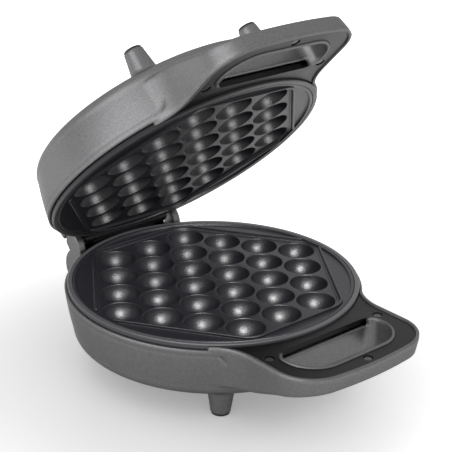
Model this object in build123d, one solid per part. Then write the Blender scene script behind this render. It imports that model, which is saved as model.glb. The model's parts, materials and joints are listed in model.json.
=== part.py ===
"""Bubble waffle maker: two round cooking halves joined at a rear hinge, each with half of a loop handle.

The lower half stands on its feet. The upper half is the same shape turned over, and rests half open.
Heights in the functions are measured from the flat of the lower cooking plate, and y from its centre.
place_lower and place_upper then bring the pieces to the frame: origin on the table, under the middle.
"""
import math
import os

from build123d import *

# Cooking plate, millimetres
PITCH = 34.0
ROW_STEP = PITCH * 0.725
ROW_COUNTS = (3, 4, 5, 6, 5, 4, 3)
POCKET_RIM_R = 14.2
PLATE_BORDER = 5.4
POCKET_DEPTH = 11.0
POCKET_EDGE = 0.7
CAST_WALL = 3.0
DECK_THICKNESS = 4.0
FIELD_MARGIN = 1.8
FIELD_STEP = 0.6
BATTER_RIB_GAP = 1.5
BATTER_RIB_WIDTH = 1.9
BATTER_RIB_TOP = 2.5
BATTER_RIB_END_Y = 9.5
PLATE_R = (max(ROW_COUNTS) - 1) / 2 * PITCH + POCKET_RIM_R + PLATE_BORDER
PLATE_RIM_WIDTH = 2.6
PLATE_RIM_TOP = 2.1
PLATE_SKIRT_DEPTH = 8.7
DRAFT = 0.6

# Bezel ring round the plate
FIT_GAP = 0.3
BEZEL_R = PLATE_R + 3.9
BEZEL_LIP = 3.3
BEZEL_LEDGE_WIDTH = 3.5
BEZEL_LEDGE_THICKNESS = 2.0
BEZEL_STEP = 1.2
BEZEL_TAPER = 0.9

# Housing shell
SHELL_WALL = 2.4
HOUSING_R = BEZEL_R + 2.0
HOUSING_RIM_Z = -2.0
BELLY_MID_R = HOUSING_R - 2.1
BELLY_MID_Z = -16.0
BELLY_LOW_R = HOUSING_R - 5.6
BELLY_LOW_Z = -32.0
BELLY_ROUND = 10.0
DOME_EDGE_Z = -42.0
DOME_Z = -46.0
CREASE_Z = -6.0
CREASE_DEPTH = 0.5
CREASE_RUN = 6.0

# Loop handle
HANDLE_TOP = 1.0
GRIP_HALF_WIDTH = 45.5
GRIP_LENGTH = 33.0
GRIP_BACK_Y = -HOUSING_R - 7.5
GRIP_FRONT_Y = GRIP_BACK_Y - GRIP_LENGTH
GRIP_CORNER_R = 23.0
GRIP_BACK_CORNER_R = 8.0
GRIP_LIP = 2.0
GRIP_BACK_DROP = 6.0
HANDLE_HALF_WIDTH = GRIP_HALF_WIDTH + 16.3
HANDLE_NECK_R = 38.6
HANDLE_NECK_BITE = 0.5
HANDLE_CORNER_R = 30.0
HANDLE_FRONT_Y = GRIP_FRONT_Y - 16.5
HANDLE_FRONT_BOW_R = 260.0
HANDLE_TAPER = 10.0
HANDLE_EDGE_R = 2.5
# Underside of the handle: distance behind its front, and height
HANDLE_SWEEP = ((-2.5, -11.2), (7.5, -12.0), (19.5, -14.8), (32.5, -18.5), (47.5, -24.3), (63.1, -29.8), (74.5, -31.7),
                (87.5, -32.3))
COVER_THICKNESS = 2.0
COVER_TOP = 0.2

# Screws: shank, head and how deep the heads sit
SCREW_R = 1.6
SCREW_HEAD_R = 2.8
SCREW_HEAD_H = 1.6
SCREW_RECESS_R = 3.5
SCREW_RECESS_DEPTH = 2.2
SCREW_LENGTH = 10.0
COVER_SCREW_LENGTH = 7.0
SIDE_SCREW_X = GRIP_HALF_WIDTH + 6.5
SIDE_SCREW_Y = GRIP_BACK_Y
FRONT_SCREW_Y = GRIP_FRONT_Y - 7.4
PLATE_SCREW_R = PLATE_R - 10.1
PLATE_SCREW_ANGLES = (30, 150, 210, 330)
PLATE_BOSS_R = 4.5
THREAD_R = 1.7

# Feet
FOOT_X = BELLY_LOW_R / 2 - 0.15
FOOT_Y = BELLY_LOW_R * 2 / 3 + 0.3
FOOT_DEPTH = 62.0
FOOT_BASE_R = 10.5
FOOT_TIP_R = 7.2
FOOT_BLEND_R = 3.0
FOOT_PAD_R = 6.6
FOOT_PAD_H = 1.6
FOOT_PAD_STEM_R = 2.5
FOOT_PAD_STEM_H = 3.0

# Hinge at the rear
PLATE_GAP = 5.6
HINGE_Y = BEZEL_R + 1.5
HINGE_Z = 5.9
KNUCKLE_R = 3.7
PIN_R = 1.8
PIN_CLEARANCE = 0.05
PIN_HEAD_R = 2.7
PIN_HEAD_H = 1.2
LONG_KNUCKLE = 30.9
KNUCKLE_GAP = 0.4
SHORT_KNUCKLE = 8.7
BRACKET_THICKNESS = 2.0
BRACKET_FRONT_Y = HINGE_Y - 0.4
BRACKET_DEPTH = 14.0
HINGE_SCREW_X = 20.0
HINGE_SCREW_DEPTH = 11.0
HINGE_BOSS_R = 3.6
KNUCKLE_RELIEF = 0.6
LID_ANGLE = 45.8

# Rear block of each housing, which carries its hinge bracket
EAR_THICKNESS = 5.6
EAR_SPACE = 4.4
REAR_HALF_WIDTH = LONG_KNUCKLE + KNUCKLE_GAP + SHORT_KNUCKLE + EAR_SPACE + EAR_THICKNESS
REAR_TOP = -2.6
REAR_ROUND_Y = HINGE_Y - 5.0
REAR_ROUND_Z = -14.0
REAR_ROUND_R = 15.0
REAR_ROUND_SHARE = 0.8
REAR_FRONT_Y = HINGE_Y - 22.0
REAR_BOTTOM = -33.0
EAR_FRONT_Y = HINGE_Y - 9.4
EAR_FOOT = -8.0
EAR_SHOULDER = (HINGE_Y - 5.6, HINGE_Z + 2.5)
EAR_TOP = HINGE_Z + 7.1
EAR_TOP_Y = HINGE_Y + 2.5
EAR_BACK_Y = HINGE_Y + 8.5
EAR_WAIST_Z = HINGE_Z - 3.0
EAR_HEEL_Y = HINGE_Y + 4.0
EAR_CLEARANCE = 0.7

# Heating, under each cooking plate
ELEMENT_R = 3.2
ELEMENT_RING_R = 68.0
ELEMENT_TAIL_X = 10.0
ELEMENT_BEND_R = 12.0
REFLECTOR_R = PLATE_R - 7.1
ELEMENT_END_Y = REFLECTOR_R - 5.5
REFLECTOR_SHEET = 0.8
REFLECTOR_DEPTH = 22.0
REFLECTOR_RIM_Z = -9.5
THERMOSTAT_R = 9.0
THERMOSTAT_STRAP = 1.0
THERMOSTAT_H = 5.5
FUSE_R = 2.4
FUSE_LENGTH = 22.0
FUSE_AT = (30.0, 30.0)
TERMINAL_SIZE = (34.0, 14.0, 10.0)
TERMINAL_Y = 62.0
TERMINAL_TOP = -25.5

# Cord inlet, low at the rear of the lower half
INLET_Z = -18.0
INLET_R = 6.0
INLET_BORE_R = 3.7
INLET_LENGTH = 8.0
INLET_FLANGE_R = 7.6
INLET_FLANGE_T = 1.6

# Indicator lamps in the crown of the lid
LAMP_X = 11.0
LAMP_Y = -62.0
LAMP_R = 4.0
LENS_PROUD = 1.3
LAMP_BODY_R = 3.0
LAMP_BODY_H = 9.0

# Where the halves stand in the frame
PLATE_CENTRE_Y = 17.65


def cylinder_at(x, y, z_low, z_high, radius):
    """Upright cylinder between two heights."""
    return Pos(x, y, z_low) * Cylinder(radius, z_high - z_low, align=(Align.CENTER, Align.CENTER, Align.MIN))


def block_between(low, high):
    """Box from its lowest to its highest corner."""
    size = [high[i] - low[i] for i in range(3)]
    return Pos(*low) * Box(*size, align=(Align.MIN, Align.MIN, Align.MIN))


def rod_along_x(x_low, x_high, radius, y=HINGE_Y, z=HINGE_Z):
    """Cylinder along X between two ends."""
    middle = (x_low + x_high) / 2
    return Pos(middle, y, z) * Rot(0, 90, 0) * Cylinder(radius, x_high - x_low)


def profile_along_x(edges, x_low, x_high):
    """Solid between two x values, from a closed outline of edges given in y and z."""
    face = make_face(Wire(edges))
    return extrude(Plane((x_low, 0, 0), x_dir=(0, 1, 0), z_dir=(1, 0, 0)) * face, x_high - x_low)


def revolve_profile(edges):
    """Ring or bowl about the vertical axis, from a closed outline of edges in radius and height."""
    face = make_face(Wire(edges))
    return revolve(Plane.XZ * face, Axis.Z)


def polyline_edges(points):
    """Closed run of straight edges."""
    return Polyline(*points, close=True).edges()


def pocket_centres():
    """Centres of the pockets, row by row from the hinge to the handle."""
    first = (len(ROW_COUNTS) - 1) / 2
    for row, count in enumerate(ROW_COUNTS):
        y = (first - row) * ROW_STEP
        for i in range(count):
            yield ((i - (count - 1) / 2) * PITCH, y)


def field_corners():
    """Centres of the six corner pockets, in order round the plate."""
    rows = (len(ROW_COUNTS) - 1) / 2
    half_long = (max(ROW_COUNTS) - 1) / 2 * PITCH
    half_short = (ROW_COUNTS[0] - 1) / 2 * PITCH
    y = rows * ROW_STEP
    return [(half_long, 0), (half_short, y), (-half_short, y), (-half_long, 0), (-half_short, -y), (half_short, -y)]


def field_outline(margin):
    """Six-sided outline round the pockets with rounded corners, this far outside the corner pockets' centres."""
    return offset(make_face(Polyline(*field_corners(), close=True)), margin, kind=Kind.ARC)


def batter_ribs():
    """Two raised ribs, front and rear, which stop the batter and leave a gap at each side."""
    inner = POCKET_RIM_R + FIELD_MARGIN + BATTER_RIB_GAP
    band = field_outline(inner + BATTER_RIB_WIDTH) - field_outline(inner)
    rib = extrude(band, BATTER_RIB_TOP)
    gap = block_between((-PLATE_R, -BATTER_RIB_END_Y, -1), (PLATE_R, BATTER_RIB_END_Y, BATTER_RIB_TOP + 1))
    return rib - gap


def plate_dish():
    """Flat dish with an upstanding rim and a skirt that stands in the bezel."""
    rim_inner = PLATE_R - PLATE_RIM_WIDTH
    return revolve_profile(polyline_edges([
        (0, FIELD_STEP), (rim_inner - DRAFT, FIELD_STEP), (rim_inner, PLATE_RIM_TOP), (PLATE_R - DRAFT, PLATE_RIM_TOP),
        (PLATE_R, PLATE_RIM_TOP - DRAFT), (PLATE_R, -PLATE_SKIRT_DEPTH), (PLATE_R - CAST_WALL, -PLATE_SKIRT_DEPTH),
        (PLATE_R - CAST_WALL - DRAFT, -DECK_THICKNESS), (0, -DECK_THICKNESS)]))


def pocket_sphere_z():
    """Height of the centre of a pocket's sphere, and the sphere's radius."""
    radius = (POCKET_RIM_R ** 2 + POCKET_DEPTH ** 2) / (2 * POCKET_DEPTH)
    return radius - POCKET_DEPTH, radius


def baking_plate():
    """Cast plate with its pockets, their bulges underneath, the ribs and four screw bosses."""
    centre_z, radius = pocket_sphere_z()
    plate = plate_dish() + batter_ribs()
    bulge = Pos(0, 0, centre_z) * Sphere(radius + CAST_WALL)
    bulge &= block_between((-PITCH, -PITCH, -PITCH), (PITCH, PITCH, -DECK_THICKNESS / 2))
    plate += [Pos(x, y) * bulge for x, y in pocket_centres()]
    plate += [boss for boss in plate_bosses()]
    plate -= extrude(field_outline(POCKET_RIM_R + FIELD_MARGIN), FIELD_STEP)
    edge = revolve_profile(polyline_edges([
        (0, 0), (POCKET_RIM_R + POCKET_EDGE, 0), (POCKET_RIM_R - POCKET_EDGE, -POCKET_EDGE), (0, -POCKET_EDGE)]))
    hollow = Pos(0, 0, centre_z) * Sphere(radius)
    hollow = hollow & block_between((-PITCH, -PITCH, -PITCH), (PITCH, PITCH, 0))
    hollow = hollow + edge
    plate -= [Pos(x, y) * hollow for x, y in pocket_centres()]
    return plate


def ring_places(radius, angles):
    """Points at these angles on a circle about the plate's centre."""
    return [(radius * math.cos(math.radians(a)), radius * math.sin(math.radians(a))) for a in angles]


def plate_bosses():
    """Four threaded bosses under the plate, which end on the reflector."""
    for x, y in ring_places(PLATE_SCREW_R, PLATE_SCREW_ANGLES):
        boss = cylinder_at(x, y, -REFLECTOR_DEPTH + FIT_GAP / 2, -DECK_THICKNESS / 2, PLATE_BOSS_R)
        yield boss - cylinder_at(x, y, -REFLECTOR_DEPTH, -DECK_THICKNESS - CAST_WALL, THREAD_R)


def bezel_ring():
    """Plastic ring whose lip shows round the plate and whose ledge carries the plate's skirt."""
    inner = PLATE_R + FIT_GAP
    ledge_top = -PLATE_SKIRT_DEPTH - FIT_GAP / 2
    ledge_low = ledge_top - BEZEL_LEDGE_THICKNESS
    top = PLATE_RIM_TOP
    wall_r = BEZEL_R - BEZEL_STEP
    return revolve_profile(polyline_edges([
        (inner, top), (BEZEL_R - DRAFT, top), (BEZEL_R, top - DRAFT), (BEZEL_R, top - BEZEL_LIP),
        (wall_r, top - BEZEL_LIP), (wall_r - BEZEL_TAPER, ledge_low), (PLATE_R - BEZEL_LEDGE_WIDTH, ledge_low),
        (PLATE_R - BEZEL_LEDGE_WIDTH, ledge_top), (inner, ledge_top)]))


def handle_neck():
    """Hollow curve between the round wall and the straight side: its centre, its root and where the side starts."""
    centre_x = HANDLE_HALF_WIDTH + HANDLE_NECK_R
    reach = HOUSING_R + HANDLE_NECK_R - HANDLE_NECK_BITE
    centre_y = -math.sqrt(reach ** 2 - centre_x ** 2)
    share = (reach - HANDLE_NECK_R) / reach
    return (centre_x, centre_y), (centre_x * share, centre_y * share), (HANDLE_HALF_WIDTH, centre_y)


def handle_face(inset):
    """Plan of the loop handle, from its roots inside the round wall to its bowed front, drawn in by inset."""
    neck, root, neck_end = handle_neck()
    half_neck = math.atan2(root[1] - neck[1], neck[0] - root[0]) / 2
    neck_mid = (neck[0] - HANDLE_NECK_R * math.cos(half_neck), neck[1] + HANDLE_NECK_R * math.sin(half_neck))
    corner_x = HANDLE_HALF_WIDTH - HANDLE_CORNER_R
    bow_y = HANDLE_FRONT_Y + HANDLE_FRONT_BOW_R
    reach = HANDLE_FRONT_BOW_R - HANDLE_CORNER_R
    corner_y = bow_y - math.sqrt(reach ** 2 - corner_x ** 2)
    scale = HANDLE_FRONT_BOW_R / reach
    bow_end = (corner_x * scale, bow_y + (corner_y - bow_y) * scale)
    half_turn = math.atan2(bow_y - corner_y, corner_x) / 2
    corner_mid = (corner_x + HANDLE_CORNER_R * math.cos(half_turn), corner_y - HANDLE_CORNER_R * math.sin(half_turn))
    root_inner = (root[0] * 0.8, root[1] * 0.8)
    right = [
        Line(root_inner, root),
        ThreePointArc(root, neck_mid, neck_end),
        Line(neck_end, (HANDLE_HALF_WIDTH, corner_y)),
        ThreePointArc((HANDLE_HALF_WIDTH, corner_y), corner_mid, bow_end),
    ]
    left = [edge.mirror(Plane.YZ) for edge in right]
    front = ThreePointArc(bow_end, (0, HANDLE_FRONT_Y), (-bow_end[0], bow_end[1]))
    back = Line(root_inner, (-root_inner[0], root_inner[1]))
    face = make_face(Wire(right + left + [front, back]))
    return offset(face, -inset) if inset else face


def belly_under_handle(inset):
    """Everything above the underside of the handle, which sweeps up from the round belly to the front."""
    low = [(HANDLE_FRONT_Y + distance, height + inset) for distance, height in HANDLE_SWEEP]
    sweep = Spline(*low)
    roof = HANDLE_TOP + BELLY_ROUND
    edges = [sweep, Line(low[-1], (0, low[-1][1])), Line((0, low[-1][1]), (0, roof)), Line((0, roof), (low[0][0], roof)),
             Line((low[0][0], roof), low[0])]
    return profile_along_x(edges, -HOUSING_R, HOUSING_R)


def underside_edges(block):
    """Edges where the handle's walls meet its underside, in front of the round wall."""
    root_y = HANDLE_FRONT_Y + HANDLE_SWEEP[-1][0] - HANDLE_EDGE_R
    found = []
    for edge in block.edges():
        middle = edge.center()
        steep = edge.bounding_box().size.Z > edge.length / 2
        if middle.Z < HOUSING_RIM_Z - HANDLE_EDGE_R and middle.Y < root_y and not steep:
            found.append(edge)
    return found


def handle_block(inset, top):
    """Handle from its underside up to a height, drawn in by inset, with walls that lean in like the belly's."""
    plan = handle_face(inset)
    slab = Pos(0, 0, HOUSING_RIM_Z) * extrude(plan, HOUSING_RIM_Z - DOME_EDGE_Z, dir=(0, 0, -1), taper=HANDLE_TAPER)
    if top > HOUSING_RIM_Z:
        slab += Pos(0, 0, HOUSING_RIM_Z) * extrude(plan, top - HOUSING_RIM_Z)
    block = slab & belly_under_handle(inset)
    return block if inset else fillet(underside_edges(block), HANDLE_EDGE_R)


def dome_height(radius, edge_radius):
    """Height of the shallow spherical dome at this radius from its middle."""
    rise = DOME_EDGE_Z - DOME_Z
    sphere_r = (edge_radius ** 2 + rise ** 2) / (2 * rise)
    return DOME_Z + sphere_r - math.sqrt(sphere_r ** 2 - radius ** 2)


def bowl(inset, top):
    """Round body of the housing up to a height, drawn in by inset."""
    rim = HOUSING_R - inset
    corner_r = BELLY_LOW_R - BELLY_ROUND - inset
    low = DOME_EDGE_Z + inset
    side = math.sqrt(0.5)
    belly_low = (BELLY_LOW_R - inset, BELLY_LOW_Z)
    edges = [
        Line((0, top), (rim, top)),
        Spline((rim, HOUSING_RIM_Z), (BELLY_MID_R - inset, BELLY_MID_Z), belly_low),
        ThreePointArc(belly_low, (corner_r + BELLY_ROUND * side, BELLY_LOW_Z + (low - BELLY_LOW_Z) * side),
                      (corner_r, low)),
        ThreePointArc((corner_r, low), (corner_r / 2, dome_height(corner_r / 2, corner_r) + inset),
                      (0, DOME_Z + inset)),
        Line((0, DOME_Z + inset), (0, top)),
    ]
    if top > HOUSING_RIM_Z:
        edges.append(Line((rim, top), (rim, HOUSING_RIM_Z)))
    return revolve_profile(edges)


def rear_block(inset):
    """Block behind the round wall that carries the hinge, with a rounded back."""
    radius = REAR_ROUND_R - inset
    top = REAR_TOP - inset
    drop = REAR_ROUND_R * REAR_ROUND_SHARE
    rise = math.sqrt(radius ** 2 - (top - REAR_ROUND_Z) ** 2)
    fall = math.sqrt(radius ** 2 - drop ** 2)
    low = REAR_ROUND_Z - drop
    edges = [
        Line((REAR_FRONT_Y, top), (REAR_ROUND_Y + rise, top)),
        ThreePointArc((REAR_ROUND_Y + rise, top), (REAR_ROUND_Y + radius, REAR_ROUND_Z), (REAR_ROUND_Y + fall, low)),
        Line((REAR_ROUND_Y + fall, low), (REAR_FRONT_Y, REAR_BOTTOM + inset)),
        Line((REAR_FRONT_Y, REAR_BOTTOM + inset), (REAR_FRONT_Y, top)),
    ]
    return profile_along_x(edges, -REAR_HALF_WIDTH + inset, REAR_HALF_WIDTH - inset)


def grip_face(margin=0.0):
    """Plan of the finger opening: straight at the back, rounded in front."""
    half = GRIP_HALF_WIDTH
    face = make_face(Polyline((-half, GRIP_BACK_Y), (half, GRIP_BACK_Y), (half, GRIP_FRONT_Y), (-half, GRIP_FRONT_Y),
                              close=True))
    front = face.vertices().sort_by(Axis.Y)[:2]
    face = fillet(front, GRIP_CORNER_R)
    face = fillet(face.vertices().sort_by(Axis.Y)[-2:], GRIP_BACK_CORNER_R)
    return offset(face, margin) if margin else face


def tall(face, low=None, high=None):
    """Upright solid from a plan, through the whole half unless heights are given."""
    low = DOME_Z - 5 if low is None else low
    high = HINGE_Z * 4 if high is None else high
    return Pos(0, 0, low) * extrude(face, high - low)


def foot_places():
    return [(x, y) for x in (-FOOT_X, FOOT_X) for y in (-FOOT_Y, FOOT_Y)]


def foot_cone(x, y, inset):
    """Hollow cone that carries a foot pad."""
    tip = -FOOT_DEPTH + FOOT_PAD_H
    low = tip + inset * 1.4
    high = DOME_EDGE_Z + SHELL_WALL
    cone = Cone(FOOT_TIP_R - inset, FOOT_BASE_R - inset, high - low, align=(Align.CENTER, Align.CENTER, Align.MIN))
    return Pos(x, y, low) * cone


def body_on_feet():
    """Round body with its four foot cones blended into the dome."""
    body = bowl(0, HOUSING_RIM_Z)
    for x, y in foot_places():
        body += foot_cone(x, y, 0)
    base_edges = []
    for edge in body.edges():
        middle = edge.center()
        near = min(math.hypot(middle.X - x, middle.Y - y) for x, y in foot_places()) < FOOT_BASE_R + 1
        if near and middle.Z > DOME_Z and edge.length < 4 * FOOT_BASE_R:
            base_edges.append(edge)
    return fillet(base_edges, FOOT_BLEND_R)


def post_top():
    """Height at which a housing post meets the underside of the reflector."""
    return -REFLECTOR_DEPTH - REFLECTOR_SHEET - FIT_GAP / 2


def plate_posts():
    """Four posts up to the reflector, each with a well for its screw from underneath."""
    inside = bowl(SHELL_WALL / 2, HOUSING_RIM_Z)
    return [cylinder_at(x, y, DOME_Z, post_top(), PLATE_BOSS_R + 1.2) & inside
            for x, y in ring_places(PLATE_SCREW_R, PLATE_SCREW_ANGLES)]


def plate_post_wells():
    """Wells and holes for the plate screws."""
    wells = []
    for x, y in ring_places(PLATE_SCREW_R, PLATE_SCREW_ANGLES):
        wells.append(cylinder_at(x, y, DOME_Z - 2, post_top() - CAST_WALL, SCREW_HEAD_R + FIT_GAP))
        wells.append(cylinder_at(x, y, post_top() - CAST_WALL - 1, post_top() + 1, SCREW_R + FIT_GAP))
    return wells


def bezel_shelf():
    """Shelf round the inside of the wall, under the bezel's ledge."""
    top = -PLATE_SKIRT_DEPTH - FIT_GAP / 2 - BEZEL_LEDGE_THICKNESS - FIT_GAP / 2
    in_wall = BELLY_MID_R - SHELL_WALL / 2
    return revolve_profile(polyline_edges([
        (PLATE_R - BEZEL_LEDGE_WIDTH, top), (in_wall, top),
        (in_wall, top - 4), (PLATE_R - BEZEL_LEDGE_WIDTH, top - 1.5)]))


def cover_screw_places():
    return [(-SIDE_SCREW_X, SIDE_SCREW_Y), (SIDE_SCREW_X, SIDE_SCREW_Y), (0, FRONT_SCREW_Y)]


def cover_pillars():
    """Pillars inside the handle that the cover is screwed to."""
    top = COVER_TOP - COVER_THICKNESS - SCREW_RECESS_DEPTH - FIT_GAP
    low = top - COVER_SCREW_LENGTH
    pillars = []
    for x, y in cover_screw_places():
        pillar = cylinder_at(x, y, DOME_Z, top, SCREW_RECESS_R) & handle_block(SHELL_WALL / 2, top)
        pillars.append(pillar - cylinder_at(x, y, low, top, SCREW_R + PIN_CLEARANCE))
    return pillars


def crease():
    """Fine step round the wall, just under the rim."""
    outer = HOUSING_R + 0.1
    deep = HOUSING_R - CREASE_DEPTH - 0.5
    return revolve_profile(polyline_edges([
        (deep, CREASE_Z), (outer, CREASE_Z), (outer, CREASE_Z - CREASE_RUN), (outer - CREASE_DEPTH, CREASE_Z - CREASE_RUN)]))


def shell():
    """Hollow outer shell that both halves share, open at the top."""
    handle = handle_block(0, HANDLE_TOP)
    outer = body_on_feet() + handle + rear_block(0)
    lip_ring = tall(grip_face(GRIP_LIP)) & handle
    inner = bowl(SHELL_WALL, HANDLE_TOP + 1) + handle_block(SHELL_WALL, HANDLE_TOP + 1) + rear_block(SHELL_WALL)
    inner += [foot_cone(x, y, SHELL_WALL) for x, y in foot_places()]
    body = outer - inner
    body += lip_ring
    body += bezel_shelf()
    body += plate_posts()
    body += cover_pillars()
    body -= tall(grip_face())
    body -= plate_post_wells()
    body -= cylinder_at(0, 0, HOUSING_RIM_Z, HANDLE_TOP + 1, BEZEL_R + FIT_GAP)
    body -= crease()
    side = GRIP_HALF_WIDTH + GRIP_LIP
    body -= block_between((-side, GRIP_BACK_Y - 0.5, HANDLE_TOP - GRIP_BACK_DROP),
                          (side, GRIP_BACK_Y + GRIP_LIP + 0.1, HANDLE_TOP + 1))
    stem_top = -FOOT_DEPTH + FOOT_PAD_H + FOOT_PAD_STEM_H
    for x, y in foot_places():
        body -= cylinder_at(x, y, -FOOT_DEPTH, stem_top + 1, FOOT_PAD_STEM_R + PIN_CLEARANCE)
    return body


def ears():
    """Two ears that rise beside the hinge from the lower housing's rear block."""
    edges = [
        Line((EAR_FRONT_Y, EAR_FOOT), (EAR_FRONT_Y, 0)),
        ThreePointArc((EAR_FRONT_Y, 0), EAR_SHOULDER, (EAR_TOP_Y, EAR_TOP)),
        Line((EAR_TOP_Y, EAR_TOP), (EAR_BACK_Y, EAR_TOP)),
        Line((EAR_BACK_Y, EAR_TOP), (EAR_BACK_Y, EAR_WAIST_Z)),
        Line((EAR_BACK_Y, EAR_WAIST_Z), (EAR_HEEL_Y, REAR_TOP)),
        Line((EAR_HEEL_Y, REAR_TOP), (EAR_HEEL_Y, EAR_FOOT)),
        Line((EAR_HEEL_Y, EAR_FOOT), (EAR_FRONT_Y, EAR_FOOT)),
    ]
    ear = profile_along_x(edges, REAR_HALF_WIDTH - EAR_THICKNESS, REAR_HALF_WIDTH)
    return [ear, ear.mirror(Plane.YZ)]


def hinge_boss_back():
    """How far back the bosses inside the rear block reach, into its rounded wall."""
    depth = HINGE_SCREW_DEPTH + REAR_ROUND_Z
    return REAR_ROUND_Y + math.sqrt(REAR_ROUND_R ** 2 - depth ** 2) - SHELL_WALL / 2


def rod_along_y(x, z, y_low, y_high, radius):
    """Cylinder along Y between two ends."""
    return Pos(x, (y_low + y_high) / 2, z) * Rot(90, 0, 0) * Cylinder(radius, y_high - y_low)


def hinge_bosses():
    """Bosses from the back wall of the rear block to the hinge bracket."""
    front = BRACKET_FRONT_Y + BRACKET_THICKNESS + FIT_GAP / 3
    bosses = []
    for x in (-HINGE_SCREW_X, HINGE_SCREW_X):
        boss = rod_along_y(x, -HINGE_SCREW_DEPTH, front, hinge_boss_back(), HINGE_BOSS_R)
        hole = rod_along_y(x, -HINGE_SCREW_DEPTH, front, hinge_boss_back() - 1, SCREW_R + PIN_CLEARANCE)
        bosses.append(boss - hole)
    return bosses


def bracket_slot(half_length):
    """Slot in the top of the rear block that the hinge bracket stands in."""
    low = (-half_length - FIT_GAP, BRACKET_FRONT_Y - FIT_GAP, REAR_TOP - SHELL_WALL - 1)
    high = (half_length + FIT_GAP, BRACKET_FRONT_Y + BRACKET_THICKNESS + FIT_GAP, HANDLE_TOP)
    return block_between(low, high)


def lid_hinge_z():
    """Height of the hinge axis in the upper half's own upright frame."""
    return PLATE_GAP - HINGE_Z


def outer_knuckle_end():
    return LONG_KNUCKLE + KNUCKLE_GAP + SHORT_KNUCKLE


def lower_housing():
    """Shell of the lower half with its ears, terminal pedestal and cord inlet."""
    length, width, height = TERMINAL_SIZE
    pedestal_top = TERMINAL_TOP - height - FIT_GAP / 3
    body = shell() + ears() + hinge_bosses()
    body += block_between((-length / 2, TERMINAL_Y - width / 2, DOME_Z + SHELL_WALL),
                          (length / 2, TERMINAL_Y + width / 2, pedestal_top))
    body -= bracket_slot(outer_knuckle_end())
    back = REAR_ROUND_Y + REAR_ROUND_R
    body += rod_along_y(0, INLET_Z, back - INLET_LENGTH, back, INLET_FLANGE_R + 1)
    body -= rod_along_y(0, INLET_Z, back - INLET_LENGTH - 1, back + 1, INLET_R + PIN_CLEARANCE)
    return body


def upper_housing():
    """Shell of the upper half, notched for the ears and knuckles, with two lamp holes in its crown."""
    body = shell() + hinge_bosses()
    axis_z = lid_hinge_z()
    reach = math.hypot(EAR_BACK_Y - HINGE_Y, EAR_TOP - HINGE_Z) + EAR_CLEARANCE
    inner_x = REAR_HALF_WIDTH - EAR_THICKNESS - EAR_CLEARANCE
    outer_x = REAR_HALF_WIDTH + EAR_CLEARANCE
    for low, high in ((inner_x, outer_x), (-outer_x, -inner_x)):
        body -= rod_along_x(low, high, reach, z=axis_z)
    body -= rod_along_x(-inner_x, inner_x, KNUCKLE_R + KNUCKLE_RELIEF, z=axis_z)
    body -= bracket_slot(LONG_KNUCKLE)
    for x in (-LAMP_X, LAMP_X):
        body -= cylinder_at(x, LAMP_Y, DOME_Z - 1, DOME_Z + 3 * SHELL_WALL, LAMP_R + PIN_CLEARANCE)
    return body


def upper_bezel():
    """Bezel ring of the upper half, relieved where the hinge knuckles turn."""
    reach = outer_knuckle_end() + KNUCKLE_GAP
    return bezel_ring() - rod_along_x(-reach, reach, KNUCKLE_R + KNUCKLE_RELIEF, z=lid_hinge_z())


def handle_cover():
    """Flat cover of the handle's inner face, with three screw cups and a flange behind the finger opening."""
    low = COVER_TOP - COVER_THICKNESS
    plan = handle_face(SHELL_WALL + FIT_GAP) - Circle(BEZEL_R + 2 * FIT_GAP) - grip_face(GRIP_LIP + FIT_GAP)
    plan = plan.faces().sort_by(Axis.Y)[0]
    cover = tall(plan, low, COVER_TOP)
    flange_y = GRIP_BACK_Y + GRIP_LIP + FIT_GAP
    cover += block_between((-GRIP_HALF_WIDTH + GRIP_BACK_CORNER_R, flange_y, HANDLE_TOP - GRIP_BACK_DROP),
                           (GRIP_HALF_WIDTH - GRIP_BACK_CORNER_R, flange_y + COVER_THICKNESS / 2, low))
    for x, y in cover_screw_places():
        cover += cylinder_at(x, y, low - SCREW_RECESS_DEPTH, low, SCREW_RECESS_R + SHELL_WALL / 2)
        cover -= cylinder_at(x, y, COVER_TOP - SCREW_RECESS_DEPTH, COVER_TOP, SCREW_RECESS_R)
        cover -= cylinder_at(x, y, low - SCREW_RECESS_DEPTH, COVER_TOP, SCREW_R + FIT_GAP)
    return cover & tall(handle_face(SHELL_WALL + FIT_GAP), low - SCREW_RECESS_DEPTH, COVER_TOP)


def screw_at(x, y, seat, length, up=True):
    """Pan-head screw on its seat height, with its shank going down, or up for up=False."""
    head = cylinder_at(x, y, seat, seat + SCREW_HEAD_H, SCREW_HEAD_R)
    shank = cylinder_at(x, y, seat - length, seat, SCREW_R)
    if up:
        return head + shank
    return cylinder_at(x, y, seat - SCREW_HEAD_H, seat, SCREW_HEAD_R) + cylinder_at(x, y, seat, seat + length, SCREW_R)


def cover_screws():
    """Three screws in the cups of the handle cover."""
    return [screw_at(x, y, COVER_TOP - SCREW_RECESS_DEPTH, COVER_SCREW_LENGTH) for x, y in cover_screw_places()]


def plate_screws():
    """Four screws from the wells underneath, through the reflector into the cooking plate's bosses."""
    seat = post_top() - CAST_WALL - FIT_GAP / 3
    return [screw_at(x, y, seat, SCREW_LENGTH, up=False) for x, y in ring_places(PLATE_SCREW_R, PLATE_SCREW_ANGLES)]


def hinge_screws():
    """Two screws that hold the hinge bracket to the bosses in the rear block."""
    screws = []
    for x in (-HINGE_SCREW_X, HINGE_SCREW_X):
        head_back = BRACKET_FRONT_Y - FIT_GAP / 3
        head = rod_along_y(x, -HINGE_SCREW_DEPTH, head_back - SCREW_HEAD_H, head_back, SCREW_HEAD_R)
        screws.append(head + rod_along_y(x, -HINGE_SCREW_DEPTH, head_back, hinge_boss_back() - 2, SCREW_R))
    return screws


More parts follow.
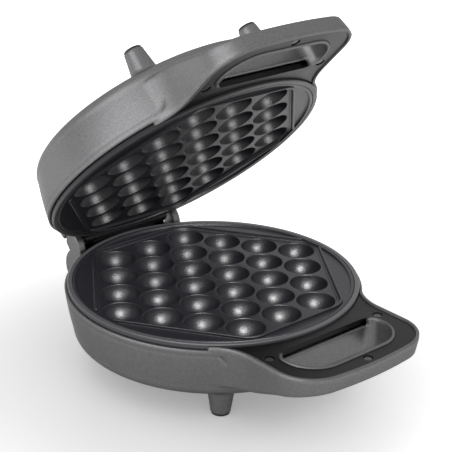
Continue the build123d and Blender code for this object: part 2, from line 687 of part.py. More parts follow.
def bracket_web(half_length, top):
    """Upright web of a hinge bracket with its two screw holes."""
    web = block_between((-half_length, BRACKET_FRONT_Y, -BRACKET_DEPTH),
                        (half_length, BRACKET_FRONT_Y + BRACKET_THICKNESS, top))
    for x in (-HINGE_SCREW_X, HINGE_SCREW_X):
        web -= rod_along_y(x, -HINGE_SCREW_DEPTH, BRACKET_FRONT_Y - 1, BRACKET_FRONT_Y + BRACKET_THICKNESS + 1,
                           SCREW_R + FIT_GAP / 2)
    return web


def lower_hinge_bracket():
    """Bracket whose two short outer knuckles hold the ends of the pin."""
    end = outer_knuckle_end()
    start = LONG_KNUCKLE + KNUCKLE_GAP
    bracket = bracket_web(end, REAR_TOP)
    for low, high in ((start, end), (-end, -start)):
        leg = block_between((low, BRACKET_FRONT_Y, REAR_TOP - 1), (high, BRACKET_FRONT_Y + BRACKET_THICKNESS, HINGE_Z))
        bracket += leg + rod_along_x(low, high, KNUCKLE_R)
    return bracket - rod_along_x(-end - 1, end + 1, PIN_R + PIN_CLEARANCE)


def upper_hinge_bracket():
    """Bracket whose two long inner knuckles turn on the pin."""
    axis_z = lid_hinge_z()
    bracket = bracket_web(LONG_KNUCKLE, axis_z)
    for low, high in ((KNUCKLE_GAP / 2, LONG_KNUCKLE), (-LONG_KNUCKLE, -KNUCKLE_GAP / 2)):
        bracket += rod_along_x(low, high, KNUCKLE_R, z=axis_z)
    slit = block_between((-KNUCKLE_GAP / 2, HINGE_Y - 2 * KNUCKLE_R, axis_z - KNUCKLE_R),
                         (KNUCKLE_GAP / 2, HINGE_Y + 2 * KNUCKLE_R, axis_z + KNUCKLE_R))
    return bracket - slit - rod_along_x(-LONG_KNUCKLE - 1, LONG_KNUCKLE + 1, PIN_R + PIN_CLEARANCE, z=axis_z)


def hinge_pin():
    """Pin through all four knuckles, headed at both ends."""
    end = outer_knuckle_end() + FIT_GAP / 2
    pin = rod_along_x(-end, end, PIN_R)
    return pin + rod_along_x(end, end + PIN_HEAD_H, PIN_HEAD_R) + rod_along_x(-end - PIN_HEAD_H, -end, PIN_HEAD_R)


def heating_element():
    """Tubular element: an open ring under the pockets with two straight tails to the rear."""
    reach = ELEMENT_RING_R + ELEMENT_BEND_R
    bend_x = ELEMENT_TAIL_X + ELEMENT_BEND_R
    bend_y = math.sqrt(reach ** 2 - bend_x ** 2)
    share = ELEMENT_RING_R / reach
    ring_start = (bend_x * share, bend_y * share)
    middle_angle = math.pi + math.atan2(bend_y, bend_x) / 2
    bend_mid = (bend_x + ELEMENT_BEND_R * math.cos(middle_angle), bend_y + ELEMENT_BEND_R * math.sin(middle_angle))
    z = pocket_sphere_z()[0] - pocket_sphere_z()[1] - CAST_WALL - FIT_GAP - ELEMENT_R
    right = [Line((ELEMENT_TAIL_X, ELEMENT_END_Y), (ELEMENT_TAIL_X, bend_y)),
             ThreePointArc((ELEMENT_TAIL_X, bend_y), bend_mid, ring_start)]
    left = [edge.mirror(Plane.YZ) for edge in right]
    ring = ThreePointArc(ring_start, (0, -ELEMENT_RING_R), (-ring_start[0], ring_start[1]))
    path = Wire(right + [ring] + left)
    start = Plane(origin=(ELEMENT_TAIL_X, ELEMENT_END_Y, 0), x_dir=(1, 0, 0), z_dir=(0, -1, 0))
    return Pos(0, 0, z) * sweep(start * Circle(ELEMENT_R), path=path)


def reflector():
    """Shallow sheet pan under the element that throws its heat up, with holes for the plate screws."""
    floor = -REFLECTOR_DEPTH
    pan = revolve_profile(polyline_edges([
        (0, floor), (REFLECTOR_R - REFLECTOR_SHEET, floor), (REFLECTOR_R - REFLECTOR_SHEET, REFLECTOR_RIM_Z),
        (REFLECTOR_R, REFLECTOR_RIM_Z), (REFLECTOR_R, floor - REFLECTOR_SHEET), (0, floor - REFLECTOR_SHEET)]))
    for x, y in ring_places(PLATE_SCREW_R, PLATE_SCREW_ANGLES):
        notch = PLATE_BOSS_R + FIT_GAP
        pan -= cylinder_at(x, y, floor, REFLECTOR_RIM_Z + 1, notch)
        pan -= cylinder_at(x, y, floor - REFLECTOR_SHEET - 1, floor + 1, SCREW_R + FIT_GAP)
    return pan


def foot_pads():
    """Four rubber pads with stems, at the tips of the feet."""
    low = -FOOT_DEPTH
    pads = []
    for x, y in foot_places():
        pad = cylinder_at(x, y, low, low + FOOT_PAD_H - FIT_GAP / 3, FOOT_PAD_R)
        pads.append(pad + cylinder_at(x, y, low, low + FOOT_PAD_H + FOOT_PAD_STEM_H, FOOT_PAD_STEM_R))
    return pads


def thermostat():
    """Round thermostat on a strap under the middle of the cooking plate."""
    centre_z, radius = pocket_sphere_z()
    top = centre_z - radius - CAST_WALL - FIT_GAP
    strap = block_between((-PITCH / 2 - 4, -5, top - THERMOSTAT_STRAP), (PITCH / 2 + 4, 5, top))
    return strap + cylinder_at(0, 0, top - THERMOSTAT_STRAP - THERMOSTAT_H, top - THERMOSTAT_STRAP, THERMOSTAT_R)


def thermal_fuse():
    """Sleeved thermal fuse lying in the reflector."""
    x, y = FUSE_AT
    z = -REFLECTOR_DEPTH + FUSE_R + FIT_GAP / 3
    return rod_along_x(x - FUSE_LENGTH / 2, x + FUSE_LENGTH / 2, FUSE_R, y=y, z=z)


def terminal_block():
    """Three-way terminal block on its pedestal, with three screw wells."""
    length, width, height = TERMINAL_SIZE
    block = block_between((-length / 2, TERMINAL_Y - width / 2, TERMINAL_TOP - height),
                          (length / 2, TERMINAL_Y + width / 2, TERMINAL_TOP))
    for i in (-1, 0, 1):
        block -= cylinder_at(i * length / 3, TERMINAL_Y, TERMINAL_TOP - height / 2, TERMINAL_TOP, width / 5)
    return block


def cord_inlet():
    """Flanged bush in the back of the rear block, for the supply cord."""
    back = REAR_ROUND_Y + REAR_ROUND_R
    bush = rod_along_y(0, INLET_Z, back - INLET_LENGTH, back + INLET_FLANGE_T, INLET_R)
    bush += rod_along_y(0, INLET_Z, back + FIT_GAP / 3, back + INLET_FLANGE_T, INLET_FLANGE_R)
    return bush - rod_along_y(0, INLET_Z, back - INLET_LENGTH - 1, back + INLET_FLANGE_T + 1, INLET_BORE_R)


def crown_z():
    """Height of the housing's crown at the indicator lamps."""
    return dome_height(math.hypot(LAMP_X, LAMP_Y), BELLY_LOW_R - BELLY_ROUND)


def lamp_lens(x):
    """Domed lens of one indicator lamp."""
    base = crown_z()
    lens = cylinder_at(x, LAMP_Y, base - LENS_PROUD / 2, base + SHELL_WALL + FIT_GAP, LAMP_R)
    ball_r = (LAMP_R ** 2 + (LENS_PROUD / 2) ** 2) / LENS_PROUD
    ball = Pos(x, LAMP_Y, base - LENS_PROUD + ball_r) * Sphere(ball_r)
    return lens + (ball & cylinder_at(x, LAMP_Y, base - LENS_PROUD, base, LAMP_R))


def lamp_bodies():
    """Two neon lamps, one behind each lens."""
    low = crown_z() + SHELL_WALL + 2 * FIT_GAP
    return [cylinder_at(x, LAMP_Y, low, low + LAMP_BODY_H, LAMP_BODY_R) for x in (-LAMP_X, LAMP_X)]


def lamp_holder():
    """Block that stands on the crown inside the lid and holds both lamps."""
    side = LAMP_R + CAST_WALL
    corner = math.hypot(LAMP_X + side, LAMP_Y - side)
    low = dome_height(corner, BELLY_LOW_R - BELLY_ROUND) + SHELL_WALL + FIT_GAP
    holder = block_between((-LAMP_X - side, LAMP_Y - side, low), (LAMP_X + side, LAMP_Y + side, low + LAMP_BODY_H - 2))
    for x in (-LAMP_X, LAMP_X):
        holder -= cylinder_at(x, LAMP_Y, low - 1, low + LAMP_BODY_H, LAMP_R + FIT_GAP)
    return holder


def place_lower(shape):
    """From the plate's own frame to the row frame."""
    return Pos(0, PLATE_CENTRE_Y, FOOT_DEPTH) * shape


def place_upper(shape):
    """Turned over onto the lower half, then opened about the hinge."""
    closed = shape.mirror(Plane.XY.offset(PLATE_GAP / 2))
    return place_lower(closed.rotate(Axis((0, HINGE_Y, HINGE_Z), (-1, 0, 0)), LID_ANGLE))


def lower_half():
    """Pieces of the lower half, by name."""
    return {
        "lower_housing": lower_housing(),
        "lower_handle_cover": handle_cover(),
        "lower_bezel": bezel_ring(),
        "lower_baking_plate": baking_plate(),
        "lower_heating_element": heating_element(),
        "lower_reflector": reflector(),
        "lower_plate_screws": plate_screws(),
        "lower_cover_screws": cover_screws(),
        "lower_foot_pads": foot_pads(),
        "lower_hinge_bracket": lower_hinge_bracket(),
        "lower_hinge_screws": hinge_screws(),
        "hinge_pin": hinge_pin(),
        "thermal_fuse": thermal_fuse(),
        "terminal_block": terminal_block(),
        "cord_inlet": cord_inlet(),
    }


def upper_half():
    """Pieces of the upper half, by name, in its own upright frame."""
    return {
        "upper_housing": upper_housing(),
        "upper_handle_cover": handle_cover(),
        "upper_bezel": upper_bezel(),
        "upper_baking_plate": baking_plate(),
        "upper_heating_element": heating_element(),
        "upper_reflector": reflector(),
        "upper_plate_screws": plate_screws(),
        "upper_cover_screws": cover_screws(),
        "upper_foot_pads": foot_pads(),
        "upper_hinge_bracket": upper_hinge_bracket(),
        "upper_hinge_screws": hinge_screws(),
        "thermostat": thermostat(),
        "power_lamp_lens": lamp_lens(-LAMP_X),
        "ready_lamp_lens": lamp_lens(LAMP_X),
        "indicator_lamps": lamp_bodies(),
        "lamp_holder": lamp_holder(),
    }


def write(name, shape, place):
    """One STEP file, with a group of pieces kept as separate solids."""
    pieces = shape if isinstance(shape, list) else [shape]
    solids = [solid for piece in pieces for solid in place(piece).solids()]
    whole = solids[0] if len(solids) == 1 else Compound(children=solids)
    whole.label = name
    export_step(whole, f"parts/{name}.step")


def main():
    os.makedirs("parts", exist_ok=True)
    for name, shape in lower_half().items():
        write(name, shape, place_lower)
    for name, shape in upper_half().items():
        write(name, shape, place_upper)


main()
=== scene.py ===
"""Bubble waffle maker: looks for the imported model, in metres and in the same frame."""
import json
import math

import bmesh
import bpy
from mathutils import Matrix, Vector

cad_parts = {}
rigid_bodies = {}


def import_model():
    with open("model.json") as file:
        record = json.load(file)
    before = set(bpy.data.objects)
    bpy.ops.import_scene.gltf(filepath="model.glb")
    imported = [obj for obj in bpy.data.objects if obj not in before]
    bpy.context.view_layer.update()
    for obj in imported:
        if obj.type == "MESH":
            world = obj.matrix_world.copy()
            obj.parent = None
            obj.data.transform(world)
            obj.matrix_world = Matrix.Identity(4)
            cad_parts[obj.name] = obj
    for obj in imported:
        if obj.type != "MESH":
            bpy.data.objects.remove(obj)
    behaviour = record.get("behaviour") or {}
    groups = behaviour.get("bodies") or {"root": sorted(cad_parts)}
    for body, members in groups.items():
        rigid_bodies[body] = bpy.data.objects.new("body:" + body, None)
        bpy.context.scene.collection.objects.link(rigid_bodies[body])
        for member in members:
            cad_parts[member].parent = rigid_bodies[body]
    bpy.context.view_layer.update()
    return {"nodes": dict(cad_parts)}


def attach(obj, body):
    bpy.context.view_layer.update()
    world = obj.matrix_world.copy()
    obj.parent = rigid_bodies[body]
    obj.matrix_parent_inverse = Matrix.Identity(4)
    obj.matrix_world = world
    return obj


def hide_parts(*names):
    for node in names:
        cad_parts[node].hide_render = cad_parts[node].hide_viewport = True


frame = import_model()
nodes = frame["nodes"]
MM = 0.001


# Materials. Patterns read Object coordinates, and their sizes are in millimetres. A moulded grain is
# really 0.1 to 0.3 mm, too fine to show, so each grain is drawn as coarse as the render needs.

GLOSS_DRIFT = 55.0  # size of the duller and the glossier areas of a surface
NOISE_LOW, NOISE_HIGH = 0.3, 0.7  # nearly all of a noise lies between these
DULL_FLAKES, BRIGHT_FLAKES = 0.2, 0.95  # where the ramp from dull flakes to bright ones starts and ends


def linear(hex_colour):
    """Linear colour from an sRGB hex string."""
    values = [int(hex_colour[i:i + 2], 16) / 255 for i in (0, 2, 4)]
    return [v / 12.92 if v <= 0.04045 else ((v + 0.055) / 1.055) ** 2.4 for v in values] + [1.0]


def add(tree, kind, links=(), sockets=(), **settings):
    """New node with its settings, its inputs' values and its links."""
    node = tree.nodes.new(kind)
    for key, value in settings.items():
        setattr(node, key, value)
    for socket, value in dict(sockets).items():
        node.inputs[socket].default_value = value
    for socket, source in dict(links).items():
        tree.links.new(source, node.inputs[socket])
    return node


def moulded(name, colour, roughness, grain, depth, drift=0.05, edge=0.4, flakes=None, **sockets):
    """Material with a fine surface grain, softened edges and a gloss that drifts slowly along it.

    grain, depth and edge are in millimetres, and drift is how far the roughness goes up and down.
    flakes is the size and the colour of the bright flakes in a lacquer.
    """
    material = bpy.data.materials.new(name)
    material.use_nodes = True
    tree = material.node_tree
    shader = tree.nodes["Principled BSDF"]
    place = add(tree, "ShaderNodeTexCoord").outputs["Object"]
    noise = add(tree, "ShaderNodeTexNoise", {"Vector": place},
                {"Scale": 1 / (grain * MM), "Detail": 3.0, "Roughness": 0.6})
    soft = add(tree, "ShaderNodeBevel", sockets={"Radius": edge * MM}, samples=8)
    bump = add(tree, "ShaderNodeBump",
               {"Height": noise.outputs["Fac"], "Normal": soft.outputs["Normal"]},
               {"Strength": 0.6, "Distance": depth * MM})
    tree.links.new(bump.outputs["Normal"], shader.inputs["Normal"])
    slow = add(tree, "ShaderNodeTexNoise", {"Vector": place},
               {"Scale": 1 / (GLOSS_DRIFT * MM), "Detail": 2.0})
    gloss = add(tree, "ShaderNodeMapRange", {"Value": slow.outputs["Fac"]},
                {"From Min": NOISE_LOW, "From Max": NOISE_HIGH,
                 "To Min": roughness - drift, "To Max": roughness + drift})
    tree.links.new(gloss.outputs["Result"], shader.inputs["Roughness"])
    if flakes:
        size, bright = flakes
        cells = add(tree, "ShaderNodeTexVoronoi", {"Vector": place}, {"Scale": 1 / (size * MM)})
        ramp = add(tree, "ShaderNodeValToRGB", {"Fac": cells.outputs["Color"]})
        stops = ((DULL_FLAKES, colour), (BRIGHT_FLAKES, bright))
        for element, (position, tone) in zip(ramp.color_ramp.elements, stops):
            element.position = position
            element.color = linear(tone)
        tree.links.new(ramp.outputs["Color"], shader.inputs["Base Color"])
    else:
        shader.inputs["Base Color"].default_value = linear(colour)
    for socket, value in sockets.items():
        shader.inputs[socket.replace("_", " ")].default_value = value
    return material


# ABS sprayed with silver gray lacquer: aluminium flakes give a fine sparkle and a soft metallic sheen
# on the dome. Real flakes are 0.03 mm, and these are as coarse as the render needs.
LACQUER = moulded("silver_gray_lacquer_on_abs", "626263", 0.38, 0.67, 0.012, drift=0.0, edge=3.5,
                  flakes=(0.38, "7b7b7c"), Metallic=0.75, Specular_IOR_Level=0.25,
                  Specular_Tint=(0.5, 0.5, 0.5, 1))
# Glass filled PBT, moulded with a fine eroded texture: near black and satin, with thin bright edges.
COVER = moulded("black_moulded_pbt", "151516", 0.36, 0.7, 0.1, drift=0.04, Specular_IOR_Level=0.12)
# The same plastic on the rings round the plates, drawn lighter than the cover: a painted sheen for the
# light that their sides catch.
BEZEL_PAINTED_SHEEN = moulded("black_moulded_ring", "38383a", 0.42, 0.63, 0.1, drift=0.04, Specular_IOR_Level=0.35)
# PTFE non-stick sprayed on die-cast aluminium: black, with a soft spot of light in each pocket and an
# orange-peel grain.
NONSTICK = moulded("nonstick_on_cast_aluminium", "070709", 0.34, 1.1, 0.3, drift=0.02, edge=0.2,
                   Specular_IOR_Level=0.2)
# Steel with a baked black coating: dark, with a dull metal shine on the knuckles.
BLACK_STEEL = moulded("black_coated_steel", "1c1c1d", 0.38, 1.1, 0.1, Metallic=0.4)
# Steel plated in black zinc: dark gray screw heads that catch small bright glints.
COVER_SCREW = moulded("black_zinc_screw", "343436", 0.3, 1.4, 0.05, drift=0.06, Metallic=0.9)
# Zinc plated steel: light gray and fairly bright.
ZINC = moulded("zinc_plated_steel", "8a8a8c", 0.35, 1.4, 0.05, drift=0.06, Metallic=1.0)
# Stainless tube, dulled and slightly browned by heat.
ELEMENT = moulded("heated_stainless_tube", "5b5c58", 0.5, 1.1, 0.1, drift=0.08, Metallic=0.9)
# Aluminised sheet: pale and nearly a mirror, with a faint unevenness from the rolling.
SHEET = moulded("aluminised_sheet", "b9b9bb", 0.32, 2.0, 0.05, drift=0.08, Metallic=1.0)
# Nitrile rubber: matt black.
RUBBER = moulded("nitrile_rubber", "161616", 0.75, 1.1, 0.2)
# Soft PVC: black with a dull satin.
INLET = moulded("soft_pvc_bush", "1a1a1b", 0.6, 1.0, 0.2)
# Natural polyamide, cream and satin, and a glass fibre sleeve, cream and matt.
CREAM = moulded("natural_polyamide", "dcdad0", 0.5, 1.4, 0.1, drift=0.04)
SLEEVE = moulded("glass_fibre_sleeve", "dad9d2", 0.85, 0.67, 0.3)
# Tinted polycarbonate lenses and a neon lamp's glass: glossy and smooth.
RED = moulded("red_polycarbonate", "a01410", 0.12, 3.3, 0.02, drift=0.0, Coat_Weight=0.6)
GREEN = moulded("green_polycarbonate", "1a8a35", 0.12, 3.3, 0.02, drift=0.0, Coat_Weight=0.6)
GLASS = moulded("neon_lamp_glass", "e0b890", 0.08, 3.3, 0.02, drift=0.0)

LOOKS = {
    "housing": LACQUER, "handle_cover": COVER, "bezel": BEZEL_PAINTED_SHEEN, "baking_plate": NONSTICK,
    "heating_element": ELEMENT, "reflector": SHEET, "plate_screws": ZINC, "cover_screws": COVER_SCREW,
    "foot_pads": RUBBER, "hinge_bracket": BLACK_STEEL, "hinge_screws": ZINC, "hinge_pin": BLACK_STEEL,
    "thermal_fuse": SLEEVE, "terminal_block": CREAM, "cord_inlet": INLET, "thermostat": ZINC,
    "power_lamp_lens": RED, "ready_lamp_lens": GREEN, "indicator_lamps": GLASS, "lamp_holder": CREAM,
}
for name, node in nodes.items():
    node.data.materials.clear()
    node.data.materials.append(LOOKS[name.replace("lower_", "").replace("upper_", "")])


# Pieces made here, in millimetres from the middle of a cooking plate, as the CAD source measures them

PITCH, ROW_STEP, ROW_COUNTS = 34.0, 24.65, (3, 4, 5, 6, 5, 4, 3)
MIDDLE_ROW = len(ROW_COUNTS) // 2
POCKET_RIM_R, POCKET_DEPTH, POCKET_ROUND_R = 14.2, 11.0, 0.6
POCKET_STEPS, BOWL_RINGS, ROUND_RINGS = 44, 11, 4
# Middles of the pockets at the field's six corners, anticlockwise from the front left
END_ROW_X, END_ROW_Y, LONG_ROW_X = PITCH, 3 * ROW_STEP, 2.5 * PITCH
FIELD_CORNERS = ((-END_ROW_X, -END_ROW_Y), (END_ROW_X, -END_ROW_Y), (LONG_ROW_X, 0),
                 (END_ROW_X, END_ROW_Y), (-END_ROW_X, END_ROW_Y), (-LONG_ROW_X, 0))
CORNER_STEPS = 14
# An outline's two outer corners stay this near the middle, plus this share of its margin, so that
# they don't cross the rim
CORNER_REACH, CORNER_SHARE = 95.92, 0.3
# Step round the field: margin from the corner pockets' middles, and height
FIELD_STEP = ((15.6, 0.0), (15.85, 0.12), (16.15, 0.48), (16.4, 0.6))
# Rim from its outer foot to its inner one: radius and height
RIM_PROFILE = ((104.6, -8.7), (104.6, 1.3), (104.5, 1.7), (104.25, 1.98), (103.8, 2.1), (102.5, 2.1),
               (102.1, 2.03), (101.85, 1.75), (101.55, 1.0), (101.3, 0.72), (100.9, 0.6))
RIM_STEPS = 180
# Batter rib from its foot, which is sunk in the plate, to its top: half its width, and height
RIB_PROFILE = ((1.25, 0.3), (1.25, 0.6), (1.0, 0.95), (0.92, 1.9), (0.75, 2.3), (0.4, 2.5))
RIB_MARGIN, RIB_END_Y = 18.45, 9.5
MERGE_REACH = 0.003
APRON_LOW, APRON_HIGH, APRON_ROUND = (-39.6, 109.6, -2.8), (39.6, 111.6, 1.6), 0.4

PLATE_PLACE = (0, 0.01765, 0.062)  # in metres
HINGE_Y, HINGE_Z = 110.0, 5.9
PLATE_GAP = 5.6  # between the two plates' fields when the lid is closed
LID_ANGLE = math.radians(45.8)  # as in the photograph
LOWER = Matrix.Translation(PLATE_PLACE) @ Matrix.Scale(MM, 4)
HINGE = Matrix.Translation((0, HINGE_Y, HINGE_Z))
TURNED = Matrix.Translation((0, 0, PLATE_GAP)) @ Matrix.Diagonal((1, 1, -1, 1))
UPPER = LOWER @ HINGE @ Matrix.Rotation(LID_ANGLE, 4, (-1, 0, 0)) @ HINGE.inverted() @ TURNED
HALVES = (("lower", LOWER, "base"), ("upper", UPPER, "lid"))


def make_piece(name, bm, half, material, replaced=()):
    """Object from a mesh in plate coordinates, which rides on its half."""
    prefix, matrix, body = half
    bm.transform(matrix)
    if matrix.determinant() < 0:
        bmesh.ops.reverse_faces(bm, faces=bm.faces)
    mesh = bpy.data.meshes.new(f"{prefix}_{name}")
    bm.to_mesh(mesh)
    bm.free()
    mesh.shade_smooth()
    mesh.materials.append(material)
    obj = bpy.data.objects.new(f"{prefix}_{name}", mesh)
    bpy.context.scene.collection.objects.link(obj)
    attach(obj, body)
    if replaced:
        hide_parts(*replaced)
    normals = obj.modifiers.new("normals", "WEIGHTED_NORMAL")
    normals.keep_sharp = True


def pocket_profile():
    """Radius and height of half a pocket, from its bottom to the flat, with a rounded edge."""
    sphere_r = (POCKET_RIM_R ** 2 + POCKET_DEPTH ** 2) / (2 * POCKET_DEPTH)
    centre_z = sphere_r - POCKET_DEPTH
    round_x = math.sqrt((sphere_r + POCKET_ROUND_R) ** 2 - (centre_z + POCKET_ROUND_R) ** 2)
    edge_angle = math.atan2(round_x, centre_z + POCKET_ROUND_R)
    bowl = [edge_angle * i / BOWL_RINGS for i in range(BOWL_RINGS + 1)]
    edge = [edge_angle * (1 - i / ROUND_RINGS) for i in range(1, ROUND_RINGS + 1)]
    return ([(sphere_r * math.sin(a), centre_z - sphere_r * math.cos(a)) for a in bowl]
            + [(round_x - POCKET_ROUND_R * math.sin(a), POCKET_ROUND_R * (math.cos(a) - 1))
               for a in edge])


def field_outline(margin):
    """Six-sided outline this far round the corner pockets' middles, with rounded corners."""
    corners = [Vector(corner) for corner in FIELD_CORNERS]
    points = []
    for i, here in enumerate(corners):
        into, out = here - corners[i - 1], corners[(i + 1) % len(corners)] - here
        start = math.atan2(into.y, into.x) - math.pi / 2
        turn = (math.atan2(out.y, out.x) - math.atan2(into.y, into.x)) % (2 * math.pi)
        angles = [start + turn * k / CORNER_STEPS for k in range(CORNER_STEPS + 1)]
        points += [here + margin * Vector((math.cos(a), math.sin(a))) for a in angles]
    reach = CORNER_REACH + CORNER_SHARE * margin
    return [p * min(1, reach / p.length) for p in points]


def rib_outline(side, half_width):
    """Closed outline of the front (-1) or back (1) batter rib, half_width from its middle line."""
    line = [p for p in field_outline(RIB_MARGIN) if p.y * side > RIB_END_Y]
    line.sort(key=lambda p: -side * math.atan2(p.y, p.x))
    ahead, behind = [], []
    for i, p in enumerate(line):
        along = (line[min(i + 1, len(line) - 1)] - line[max(i - 1, 0)]).normalized()
        across = Vector((along.y, -along.x)) * half_width
        ahead.append(p + across)
        behind.insert(0, p - across)
    ends = []
    for tip, out in ((line[-1], line[-1] - line[-2]), (line[0], line[0] - line[1])):
        turn = math.atan2(out.y, out.x)
        ends.append([tip + half_width * Vector((math.cos(turn + a), math.sin(turn + a)))
                     for a in (-math.pi / 4, 0, math.pi / 4)])
    return ahead + ends[0] + behind + ends[1]


def ring(bm, outline, height):
    """Edges of a closed outline at one height."""
    verts = [bm.verts.new((p.x, p.y, height)) for p in outline]
    return [bm.edges.new((verts[i - 1], verts[i])) for i in range(len(verts))]


def spun(bm, profile, steps):
    """Profile of radius and height, spun round the middle, and the ring of edges at its end."""
    older = set(bm.edges)
    verts = [bm.verts.new((radius, 0, height)) for radius, height in profile]
    edges = [bm.edges.new(pair) for pair in zip(verts, verts[1:])]
    bmesh.ops.spin(bm, geom=verts + edges, axis=(0, 0, 1), angle=2 * math.pi, steps=steps,
                   use_merge=True)
    end = profile[-1][1]
    return [e for e in bm.edges if e not in older and e.is_boundary
            and all(abs(v.co.z - end) < 1e-6 for v in e.verts)]


def baking_plate_mesh():
    """Top of a cooking plate: pockets in a sunk field, a step up, two batter ribs and the rim."""
    bm = bmesh.new()
    rim = spun(bm, pocket_profile(), POCKET_STEPS)
    pocket = bm.verts[:] + bm.edges[:] + bm.faces[:]
    holes = []
    for row, count in enumerate(ROW_COUNTS):
        for i in range(count):
            copy = bmesh.ops.duplicate(bm, geom=pocket)
            verts = [v for v in copy["geom"] if isinstance(v, bmesh.types.BMVert)]
            place = ((i - (count - 1) / 2) * PITCH, (MIDDLE_ROW - row) * ROW_STEP, 0)
            bmesh.ops.translate(bm, verts=verts, vec=place)
            holes += [copy["edge_map"][e] for e in rim]
    verts = [v for v in pocket if isinstance(v, bmesh.types.BMVert)]
    bmesh.ops.delete(bm, geom=verts, context="VERTS")
    step = [ring(bm, field_outline(margin), height) for margin, height in FIELD_STEP]
    bmesh.ops.triangle_fill(bm, edges=holes + step[0], normal=(0, 0, 1))
    rim = spun(bm, RIM_PROFILE, RIM_STEPS)
    bmesh.ops.triangle_fill(bm, edges=step[-1] + rim, normal=(0, 0, 1))
    for low, high in zip(step, step[1:]):
        bmesh.ops.bridge_loops(bm, edges=low + high)
    bmesh.ops.remove_doubles(bm, verts=bm.verts, dist=MERGE_REACH)
    bmesh.ops.recalc_face_normals(bm, faces=bm.faces)
    if sum(f.normal.z * f.calc_area() for f in bm.faces) < 0:
        bmesh.ops.reverse_faces(bm, faces=bm.faces)
    plate = set(bm.faces)
    for side in (-1, 1):
        rib = [ring(bm, rib_outline(side, half_width), height) for half_width, height in RIB_PROFILE]
        for low, high in zip(rib, rib[1:]):
            bmesh.ops.bridge_loops(bm, edges=low + high)
        for end in (rib[0], rib[-1]):
            bmesh.ops.triangle_fill(bm, edges=end, normal=(0, 0, 1))
    bmesh.ops.recalc_face_normals(bm, faces=[f for f in bm.faces if f not in plate])
    return bm


def apron_mesh():
    """Strip that closes the slit under the hinge barrel, with softened edges."""
    low, high = Vector(APRON_LOW), Vector(APRON_HIGH)
    bm = bmesh.new()
    size = Matrix.Diagonal((*(high - low), 1))
    bmesh.ops.create_cube(bm, size=1.0, matrix=Matrix.Translation((low + high) / 2) @ size)
    bmesh.ops.bevel(bm, geom=bm.edges[:], offset=APRON_ROUND, segments=2, profile=0.5,
                    affect="EDGES", material=-1)
    return bm


for half in HALVES:
    make_piece("plate", baking_plate_mesh(), half, NONSTICK,
               [f"{half[0]}_baking_plate"])
make_piece("hinge_apron", apron_mesh(), HALVES[0], BLACK_STEEL)


# Floor, light and camera, in metres

WHITE = (1, 1, 1, 1)
WORLD_LIGHT = 0.75
FLOOR_HALF = 12.0  # half the length of the floor's side
# The floor's glow is fully white from this far round the painted shadow's middle, and near it only at
# this
# level: a soft shadow painted under the object, on top of the real shadow that it casts
PAINTED_SHADOW_MIDDLE, PAINTED_SHADOW_INNER, PAINTED_SHADOW_OUTER, PAINTED_SHADOW_LEVEL = (-0.04, 0.03, 0), 0.1, 0.42, 0.26
CAMERA_PLACE = (-0.6066, -0.68245, 0.4957)
CAMERA_AZIMUTH, CAMERA_ELEVATION, CAMERA_ROLL = (math.radians(a) for a in (-41.43, 22.86, 1.18))
CAMERA_LENS, CAMERA_SENSOR = 109.2, 36.0  # in millimetres
CAMERA_END = 50


def area_light(name, place, target, size, power, lit, shadow=False):
    """Soft light aimed at a point, for the objects whose names hold one of these words."""
    data = bpy.data.lights.new(name, "AREA")
    data.shape = "RECTANGLE"
    data.use_shadow = shadow
    data.size = data.size_y = size
    data.energy = power
    light = bpy.data.objects.new(name, data)
    bpy.context.scene.collection.objects.link(light)
    light.location = place
    light.rotation_euler = (Vector(target) - Vector(place)).to_track_quat("-Z", "Y").to_euler()
    receivers = bpy.data.collections.new(f"{name}_receivers")
    for obj in bpy.data.objects:
        if obj.type == "MESH" and any(word in obj.name for word in lit):
            receivers.objects.link(obj)
    light.light_linking.receiver_collection = receivers


def seen(tree):
    """1 for rays from the camera, a mirror or glass, which see the white studio, or else 0."""
    path = add(tree, "ShaderNodeLightPath")
    direct = add(tree, "ShaderNodeMath",
                 {0: path.outputs["Is Camera Ray"], 1: path.outputs["Is Glossy Ray"]},
                 operation="ADD")
    return add(tree, "ShaderNodeMath",
               {0: direct.outputs["Value"], 1: path.outputs["Is Transmission Ray"]},
               operation="ADD", use_clamp=True).outputs["Value"]


def floor():
    """Pale floor that is shown white away from the object, with a soft shadow painted under it by a
    dimmer glow, on top of the object's real shadow.
    """
    bm = bmesh.new()
    bmesh.ops.create_grid(bm, x_segments=1, y_segments=1, size=FLOOR_HALF)
    mesh = bpy.data.meshes.new("floor")
    bm.to_mesh(mesh)
    bm.free()
    obj = bpy.data.objects.new("floor", mesh)
    bpy.context.scene.collection.objects.link(obj)
    material = bpy.data.materials.new("floor_white")
    material.use_nodes = True
    tree = material.node_tree
    shader = tree.nodes["Principled BSDF"]
    place = add(tree, "ShaderNodeTexCoord").outputs["Object"]
    distance = add(tree, "ShaderNodeVectorMath", {0: place}, {1: PAINTED_SHADOW_MIDDLE}, operation="DISTANCE")
    # Painted shadow: the glow is dimmer near the object, whether or not anything shades the floor there
    white = add(tree, "ShaderNodeMapRange", {"Value": distance.outputs["Value"]},
                {"From Min": PAINTED_SHADOW_INNER, "From Max": PAINTED_SHADOW_OUTER,
                 "To Min": PAINTED_SHADOW_LEVEL, "To Max": 1.0}, interpolation_type="SMOOTHSTEP")
    shown = add(tree, "ShaderNodeMath", {0: seen(tree), 1: white.outputs["Result"]},
                operation="MULTIPLY")
    tree.links.new(shown.outputs["Value"], shader.inputs["Emission Strength"])
    for socket, value in (("Base Color", (0.9, 0.9, 0.9, 1)), ("Roughness", 0.4),
                          ("Specular IOR Level", 0.3), ("Emission Color", WHITE)):
        shader.inputs[socket].default_value = value
    mesh.materials.append(material)


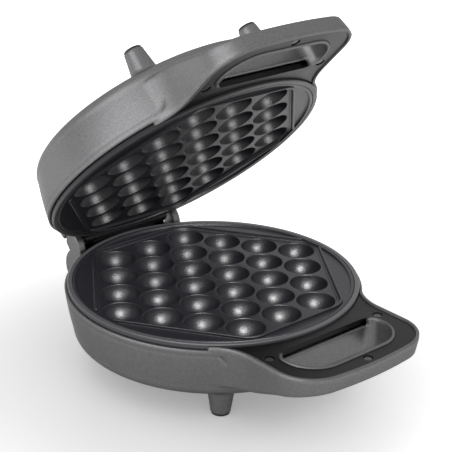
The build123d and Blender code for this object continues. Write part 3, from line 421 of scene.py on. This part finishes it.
def studio_world():
    """Even white light on the object, which is seen as plain white beyond the floor."""
    world = bpy.data.worlds.new("studio")
    world.use_nodes = True
    tree = world.node_tree
    background = tree.nodes["Background"]
    background.inputs["Color"].default_value = WHITE
    level = add(tree, "ShaderNodeMapRange", {"Value": seen(tree)},
                {"To Min": WORLD_LIGHT, "To Max": 1.0})
    tree.links.new(level.outputs["Result"], background.inputs["Strength"])
    bpy.context.scene.world = world


def camera():
    """Camera of the photograph, fitted to the plate's pockets and the hinge."""
    back = Vector((math.sin(CAMERA_AZIMUTH) * math.cos(CAMERA_ELEVATION),
                   -math.cos(CAMERA_AZIMUTH) * math.cos(CAMERA_ELEVATION),
                   math.sin(CAMERA_ELEVATION)))
    level = Vector((math.cos(CAMERA_AZIMUTH), math.sin(CAMERA_AZIMUTH), 0))
    upright = back.cross(level)
    right = level * math.cos(CAMERA_ROLL) + upright * math.sin(CAMERA_ROLL)
    up = upright * math.cos(CAMERA_ROLL) - level * math.sin(CAMERA_ROLL)
    data = bpy.data.cameras.new("camera")
    data.lens = CAMERA_LENS
    data.sensor_width = CAMERA_SENSOR
    data.clip_end = CAMERA_END
    cam = bpy.data.objects.new("camera", data)
    bpy.context.scene.collection.objects.link(cam)
    turn = Matrix((right, up, back)).transposed().to_4x4()
    cam.matrix_world = Matrix.Translation(CAMERA_PLACE) @ turn
    bpy.context.scene.camera = cam


floor()
camera()
area_light("key", place=(-0.135, -0.585, 1.43), target=(0, 0, 0.06), size=0.65, power=125.0,
           lit=("lower_plate", "cover_screws"))
area_light("glow", place=(-0.6, -0.35, 1.3), target=(0, 0, 0.06), size=1.4, power=42.0,
           lit=("lower_plate", "cover_screws", "lower_bezel"))
area_light("front", place=(-0.3, -1.46, 0.3), target=(0, 0, 0.17), size=0.75, power=62.0,
           lit=("upper_plate", "upper_cover_screws"))
area_light("panel", place=(-1.3, 0.0, 1.0), target=(0, 0, 0.15), size=1.5, power=16.0,
           lit=("housing", "foot_pads"), shadow=True)
studio_world()
bpy.context.scene.view_settings.view_transform = "Standard"
